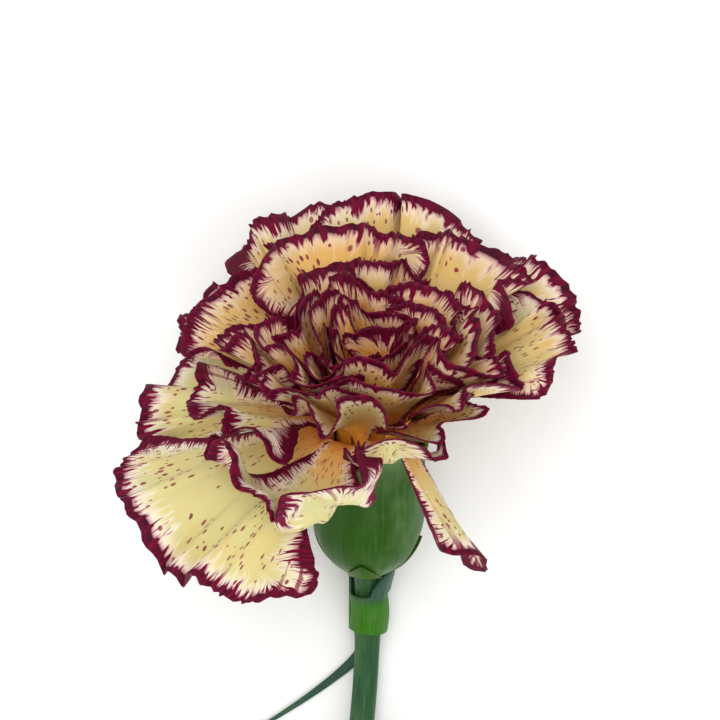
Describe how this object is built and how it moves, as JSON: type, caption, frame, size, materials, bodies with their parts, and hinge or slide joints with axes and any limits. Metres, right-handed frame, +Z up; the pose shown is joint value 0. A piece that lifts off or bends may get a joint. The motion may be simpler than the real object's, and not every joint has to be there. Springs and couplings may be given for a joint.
{
  "type": "cut carnation",
  "caption": "Double-flowered cut carnation with ruffled, dark-edged pale petals in a green calyx, on a short jointed stem with paired leaves, lying on its side.",
  "frame": {"origin": "under the middle of the whole flower's bounding box, on the surface it lies on", "axes": "+Z up from the surface; +Y from the cut end of the stem towards the bloom; +X to the right when looked at from above with the bloom at the top"},
  "size_m": [0.0762, 0.215, 0.0629],
  "materials": {
    "petal": "satin",
    "calyx": "satin",
    "stem": "satin",
    "leaf": "satin",
    "pistil": "matte"
  },
  "bodies": {
    "root": {"bract_front": "leaf", "calyx": "calyx", "calyx_scale_1": "calyx", "calyx_scale_2": "calyx", "calyx_scale_3": "calyx", "calyx_scale_4": "calyx", "guard_petal_back_left": "petal", "guard_petal_back_right": "petal", "guard_petal_hanging": "petal", "guard_petal_left": "petal", "guard_petal_lower_left": "petal", "guard_petal_right": "petal", "heart_petal_01": "petal", "heart_petal_02": "petal", "heart_petal_03": "petal", "heart_petal_04": "petal", "heart_petal_05": "petal", "heart_petal_06": "petal", "heart_petal_07": "petal", "heart_petal_08": "petal", "heart_petal_09": "petal", "heart_petal_10": "petal", "heart_petal_11": "petal", "heart_petal_12": "petal", "heart_petal_13": "petal", "heart_petal_14": "petal", "heart_petal_15": "petal", "heart_petal_16": "petal", "heart_petal_17": "petal", "heart_petal_18": "petal", "heart_petal_19": "petal", "heart_petal_20": "petal", "leaf_lower_back": "leaf", "leaf_lower_top": "leaf", "leaf_middle_left": "leaf", "leaf_middle_right": "leaf", "leaf_top_back": "leaf", "middle_petal_far_left": "petal", "middle_petal_front_left": "petal", "middle_petal_front_right": "petal", "middle_petal_left": "petal", "middle_petal_low_right": "petal", "middle_petal_right": "petal", "middle_petal_top": "petal", "middle_petal_top_right": "petal", "outer_petal_bottom": "petal", "outer_petal_cup": "petal", "outer_petal_left": "petal", "outer_petal_low_middle": "petal", "outer_petal_low_right": "petal", "outer_petal_right": "petal", "outer_petal_small": "petal", "outer_petal_top_left": "petal", "outer_petal_top_right": "petal", "pistil": "pistil", "stem": "stem"}
  },
  "joints": []
}
